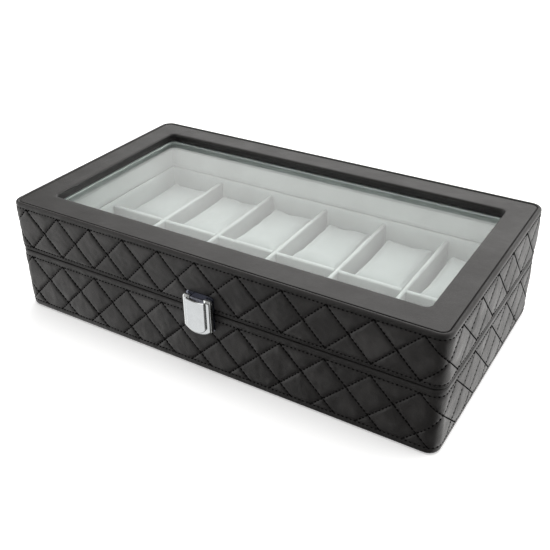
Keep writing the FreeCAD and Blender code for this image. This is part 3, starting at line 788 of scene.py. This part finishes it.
def pillow_form(size, seed):
    """Points and faces of one filled pillow, centred on its own underside."""
    start = size - 2 * SIM_CAP * np.array([0.55, 0.5, 0.5])
    half = start / 2
    seams = (half[0] - SEAM_IN + 1.2, half[0] - SEAM_IN - 0.5)
    points, faces = box_grid(pillow_stations(half[0], PILLOW_GRID[0], seams),
                             pillow_stations(half[1], PILLOW_GRID[1]),
                             pillow_stations(half[2], PILLOW_GRID[2]) + half[2])
    lo, hi = points.min(0), points.max(0)
    points = soften(points, lo, hi, PILLOW_ROUND)
    points += ripples(points, 20, 0.25, seed)[:, None] * 0.5
    swollen = inflate(points, faces)
    move = swollen - points
    length = np.linalg.norm(move, axis=1, keepdims=True)
    points = points + move * (SIM_CAP * np.tanh(length / SIM_CAP) / np.maximum(length, 1e-9))
    return points, faces


def inflate(points, faces):
    """The cover's points once the filling has pushed it out, by cloth simulation."""
    mesh = bpy.data.meshes.new("pillow_cloth")
    mesh.from_pydata((points * MM * SIM_SCALE).tolist(), [], [f for block in faces for f in block])
    cloth = bpy.data.objects.new("pillow_cloth", mesh)
    bpy.context.scene.collection.objects.link(cloth)
    settings = cloth.modifiers.new("filling", "CLOTH")
    settings.settings.quality = 6
    settings.settings.mass = 0.4
    settings.settings.tension_stiffness = 15
    settings.settings.compression_stiffness = 15
    settings.settings.shear_stiffness = 5
    settings.settings.bending_stiffness = 1.0
    settings.settings.use_pressure = True
    settings.settings.uniform_pressure_force = 4
    settings.settings.effector_weights.gravity = 0
    settings.collision_settings.use_collision = False
    for number in range(1, SIM_FRAMES + 1):
        bpy.context.scene.frame_set(number)
    shown = cloth.evaluated_get(bpy.context.evaluated_depsgraph_get()).to_mesh()
    moved = np.array([v.co for v in shown.vertices]) / (MM * SIM_SCALE)
    bpy.data.objects.remove(cloth)
    bpy.data.meshes.remove(mesh)
    bpy.context.scene.frame_set(1)
    return moved


def pillow(node, form, seed):
    """One watch pillow in its compartment, with a sewn seam round each end panel."""
    lo, hi = span(node)
    points, faces = form
    draw = np.random.default_rng(seed)
    mirrored = (draw.choice((-1, 1)), draw.choice((-1, 1)), 1)
    points = points * mirrored + ripples(points, 26, 0.22, seed)[:, None] * 0.4
    grown = points.max(0) - points.min(0)
    points = (points - (points.max(0) + points.min(0)) / 2) * np.minimum(1, (hi - lo) / grown)
    centre = (lo + hi) / 2
    points = points + centre
    points[:, 2] = np.maximum(points[:, 2], lo[2])
    piece = make(f"velvet_{node}", points, faces, node, PILLOW_VELVET)
    sewn_seams(piece.data, centre[0], points[:, 0].max() - centre[0])
    smooth = piece.modifiers.new("smooth", "SUBSURF")
    smooth.levels = smooth.render_levels = 1
    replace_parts(piece, node)


def sewn_seams(mesh, centre, half):
    """Pulls the cover in along a seam near each end and, more lightly, along the stitches beside it."""
    count = len(mesh.vertices)
    points, normals = np.zeros(count * 3), np.zeros(count * 3)
    mesh.vertices.foreach_get("co", points)
    mesh.vertices.foreach_get("normal", normals)
    points, normals = points.reshape(-1, 3) / MM, normals.reshape(-1, 3)
    from_end = half - np.abs(points[:, 0] - centre)
    seam = 0.55 * np.exp(-((from_end - SEAM_IN) / 0.5) ** 2)
    stitches = 0.3 * np.exp(-((from_end - SEAM_IN - STITCHES_IN) / 0.45) ** 2)
    flat = np.abs(normals[:, 0]) < 0.8
    points -= normals * ((seam + stitches) * flat)[:, None]
    mesh.vertices.foreach_set("co", (points * MM).ravel())
    mesh.update()


# ---- CAD nodes that keep their shape -----------------------------------------------------------------
WELD = 2e-6                             # metres within which a CAD mesh's points are one
BEVEL_ANGLE = math.radians(35)          # edges sharper than this get a bevel


def keep(material, width, *names):
    """CAD nodes with their own shape: the edges get a small bevel that catches the light."""
    for name in names:
        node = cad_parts[name]
        node.data.materials.clear()
        node.data.materials.append(material)
        node.modifiers.new("weld", "WELD").merge_threshold = WELD
        bevel = node.modifiers.new("edges", "BEVEL")
        bevel.width = width * MM
        bevel.segments = 3
        bevel.limit_method = "ANGLE"
        bevel.angle_limit = BEVEL_ANGLE
        bevel.use_clamp_overlap = True
        node.modifiers.new("shading", "WEIGHTED_NORMAL").keep_sharp = True


def dress_cad_nodes():
    sides = ("front", "back", "left", "right")
    walls = [f"{part}_{side}_board" for part in ("base", "lid") for side in sides]
    keep(BOARD, 0.3, *walls, "base_bottom_board", "lid_frame_board")
    keep(WADDING, 0.2, "base_wadding", "lid_wadding")
    keep(CHROME, 0.22, "clasp_lever")
    keep(PLATE_CHROME_PAINTED_SHADE, 0.25, "clasp_lid_plate", "clasp_base_plate")
    keep(CHROME, 0.1, "clasp_pin", "clasp_lid_nails", "clasp_base_nails")
    keep(STEEL, 0.05, "clasp_spring")
    hinges = [f"hinge_{side}_{part}_leaf" for side in ("left", "right") for part in ("base", "lid")]
    keep(NICKEL, 0.2, *hinges)
    keep(NICKEL, 0.1, "hinge_pins", "hinge_base_screws", "hinge_lid_screws")
    keep(GLASS, 0.25, "lid_glass")


# ---- room --------------------------------------------------------------------------------------------
CAMERA_TURN, CAMERA_RISE, CAMERA_ROLL = math.radians(31.703), math.radians(31.523), math.radians(-0.817)
CAMERA_DISTANCE = 0.649
CAMERA_SHIFT = (-0.00036, 0.02485)      # metres to the right of and above the line to the origin
CAMERA_LENS = 51.82
WALL_SLANT = 0.45                       # the bright wall behind the box swings round to its right
BRIGHT_WALL = (0.12, 0.5, 0.08, 1.6)    # where it starts and is full, and the light at those places
LEFT_WALL = (-0.48, -0.68, 0.0, 1.45)   # and likewise for the wall at the left
SKY = (-0.05, 0.3, 0.0, 0.32)           # and for the brightness in front of the box, by height
CARD = ((-85.0, -215.0), (-10.0, -140.0))


def camera():
    level_share = math.cos(CAMERA_RISE)
    back = Vector((math.sin(CAMERA_TURN) * level_share, -math.cos(CAMERA_TURN) * level_share,
                   math.sin(CAMERA_RISE)))
    level = Vector((0, 0, 1)).cross(back).normalized()
    plumb = back.cross(level)
    right = math.cos(CAMERA_ROLL) * level + math.sin(CAMERA_ROLL) * plumb
    up = math.cos(CAMERA_ROLL) * plumb - math.sin(CAMERA_ROLL) * level
    eye = back * CAMERA_DISTANCE + right * CAMERA_SHIFT[0] + up * CAMERA_SHIFT[1]
    data = bpy.data.cameras.new("camera")
    data.lens = CAMERA_LENS
    data.sensor_width = 36.0
    data.clip_start = 0.01
    made = bpy.data.objects.new("camera", data)
    made.matrix_world = Matrix((right, up, back)).transposed().to_4x4()
    made.location = eye
    bpy.context.scene.collection.objects.link(made)
    bpy.context.scene.camera = made


def floor():
    """A pale, faintly lit floor under the box; reflections show the studio's walls instead of it."""
    f = Finish("floor", IOR=1.4, Specular_IOR_Level=0.1, Emission_Color=(1.0, 1.0, 1.0, 1.0),
               Emission_Strength=0.3)
    f.set(Base_Color=f.blend(f.noise(300, 2), (0.94, 0.94, 0.94), (0.92, 0.92, 0.92)), Roughness=0.9)
    size = 4000.0
    made = make("floor", [(-size, -size, 0), (size, -size, 0), (size, size, 0), (-size, size, 0)],
                [[(0, 1, 2, 3)]], None, f.material, smooth=False)
    made.visible_glossy = False


def reflector():
    """A small white card lying in front of the box, for the clasp to mirror."""
    f = Finish("card", Roughness=1.0, Base_Color=(0.0, 0.0, 0.0, 1.0))
    f.set(Emission_Color=f.blend(f.noise(60, 2), (1.0, 1.0, 1.0), (0.95, 0.97, 1.0)), Emission_Strength=0.76)
    (x0, y0), (x1, y1) = CARD
    made = make("card", [(x0, y0, 0.5), (x1, y0, 0.5), (x1, y1, 0.5), (x0, y1, 0.5)], [[(0, 1, 2, 3)]],
                None, f.material, smooth=False)
    made.visible_camera = False
    made.visible_diffuse = False
    made.visible_shadow = False


def softbox(name, place, aim, size, power):
    """A soft lamp that the box doesn't mirror."""
    data = bpy.data.lights.new(name, "AREA")
    data.shape = "RECTANGLE"
    data.size, data.size_y = size
    data.energy = power
    made = bpy.data.objects.new(name, data)
    made.location = place
    made.rotation_euler = (Vector(aim) - Vector(place)).to_track_quat("-Z", "Y").to_euler()
    made.visible_camera = False
    made.visible_glossy = False
    bpy.context.scene.collection.objects.link(made)


def studio_world():
    """White to the camera; as light and in reflections bright behind and above, dark low down in front."""
    world = bpy.data.worlds.new("studio")
    world.use_nodes = True
    tree = world.node_tree

    def node(kind, operation=None, inputs=(), **settings):
        made = tree.nodes.new("ShaderNode" + kind)
        if operation:
            made.operation = operation
        for key, value in settings.items():
            setattr(made, key, value)
        for socket, value in zip(made.inputs, inputs):
            if isinstance(value, bpy.types.NodeSocket):
                tree.links.new(value, socket)
            else:
                socket.default_value = value
        return made.outputs[0]

    towards = tree.nodes.new("ShaderNodeSeparateXYZ")
    tree.links.new(tree.nodes.new("ShaderNodeTexCoord").outputs["Generated"], towards.inputs[0])
    x, y, z = towards.outputs
    slant = node("Math", "ADD", (y, node("Math", "MULTIPLY", (x, WALL_SLANT))))
    behind = node("MapRange", None, (slant, *BRIGHT_WALL), interpolation_type="SMOOTHSTEP")
    left = node("MapRange", None, (x, *LEFT_WALL), interpolation_type="SMOOTHSTEP")
    in_front = node("MapRange", None, (y, 0.4, -0.1, 0.0, 1.0), interpolation_type="SMOOTHSTEP")
    level = node("Math", "ADD", (behind, node("Math", "MULTIPLY", (left, in_front))))
    ahead = node("MapRange", None, (y, 0.5, 0.2, 0.0, 1.0), interpolation_type="SMOOTHSTEP")
    by_height = node("MapRange", None, (z, *SKY), interpolation_type="SMOOTHSTEP")
    sky = node("Math", "MULTIPLY", (ahead, by_height))
    level = node("Math", "MAXIMUM", (level, sky))
    seen = tree.nodes.new("ShaderNodeLightPath").outputs["Is Camera Ray"]
    strength = node("Math", "MAXIMUM", (level, node("Math", "MULTIPLY", (seen, 1.1))))
    tree.links.new(strength, tree.nodes["Background"].inputs["Strength"])
    tree.nodes["Background"].inputs["Color"].default_value = (1.0, 0.99, 0.975, 1.0)
    bpy.context.scene.world = world


def room():
    studio_world()
    bpy.context.scene.view_settings.view_transform = "Standard"
    floor()
    reflector()
    softbox("top_light", (0.0, 0.25, 1.3), (0, 0, 0), (1.5, 1.3), 17.0)
    softbox("front_fill", (0.2, -1.0, 1.0), (0, 0, 0), (1.2, 0.8), 1.6)


# ---- putting it together -----------------------------------------------------------------------------
def build():
    lid_cover()
    base_cover()
    stitching("lid_stitching", LID_QUILT, "lid")
    stitching("base_stitching", BASE_QUILT, "base")
    lid_top()
    lining("base_suede_lining", LINING_LO[2], LINING_HI[2], "base", "base_wall_lining", 71)
    lining("lid_suede_lining", LID_LINING_LO[2], LID_LINING_HI[2], "lid", "lid_wall_lining", 72)
    glass_retainer()
    sheet_piece("floor_suede", FLOOR_LO, FLOOR_HI, "base", SUEDE, "base_floor_lining", 73,
                0.12)
    sheet_piece("felt_foot", FELT_LO, FELT_HI, "base", FELT, "base_felt", 74, 0.0)
    crossings = [float(sum(span(f"divider_cross_{number}"))[0]) / 2 for number in range(1, 6)]
    velvet_divider("divider_long", crossings, True)
    for number in range(1, 6):
        velvet_divider(f"divider_cross_{number}", [0.0], False)
    lo, hi = span("pillow_front_1")
    forms = [pillow_form(hi - lo, seed) for seed in (81, 82)]
    for column in range(6):
        for row, name in enumerate(("front", "back")):
            pillow(f"pillow_{name}_{column + 1}", forms[(column + row) % 2], 90 + 2 * column + row)
    dress_cad_nodes()
    camera()
    room()


build()
bpy.context.view_layer.update()
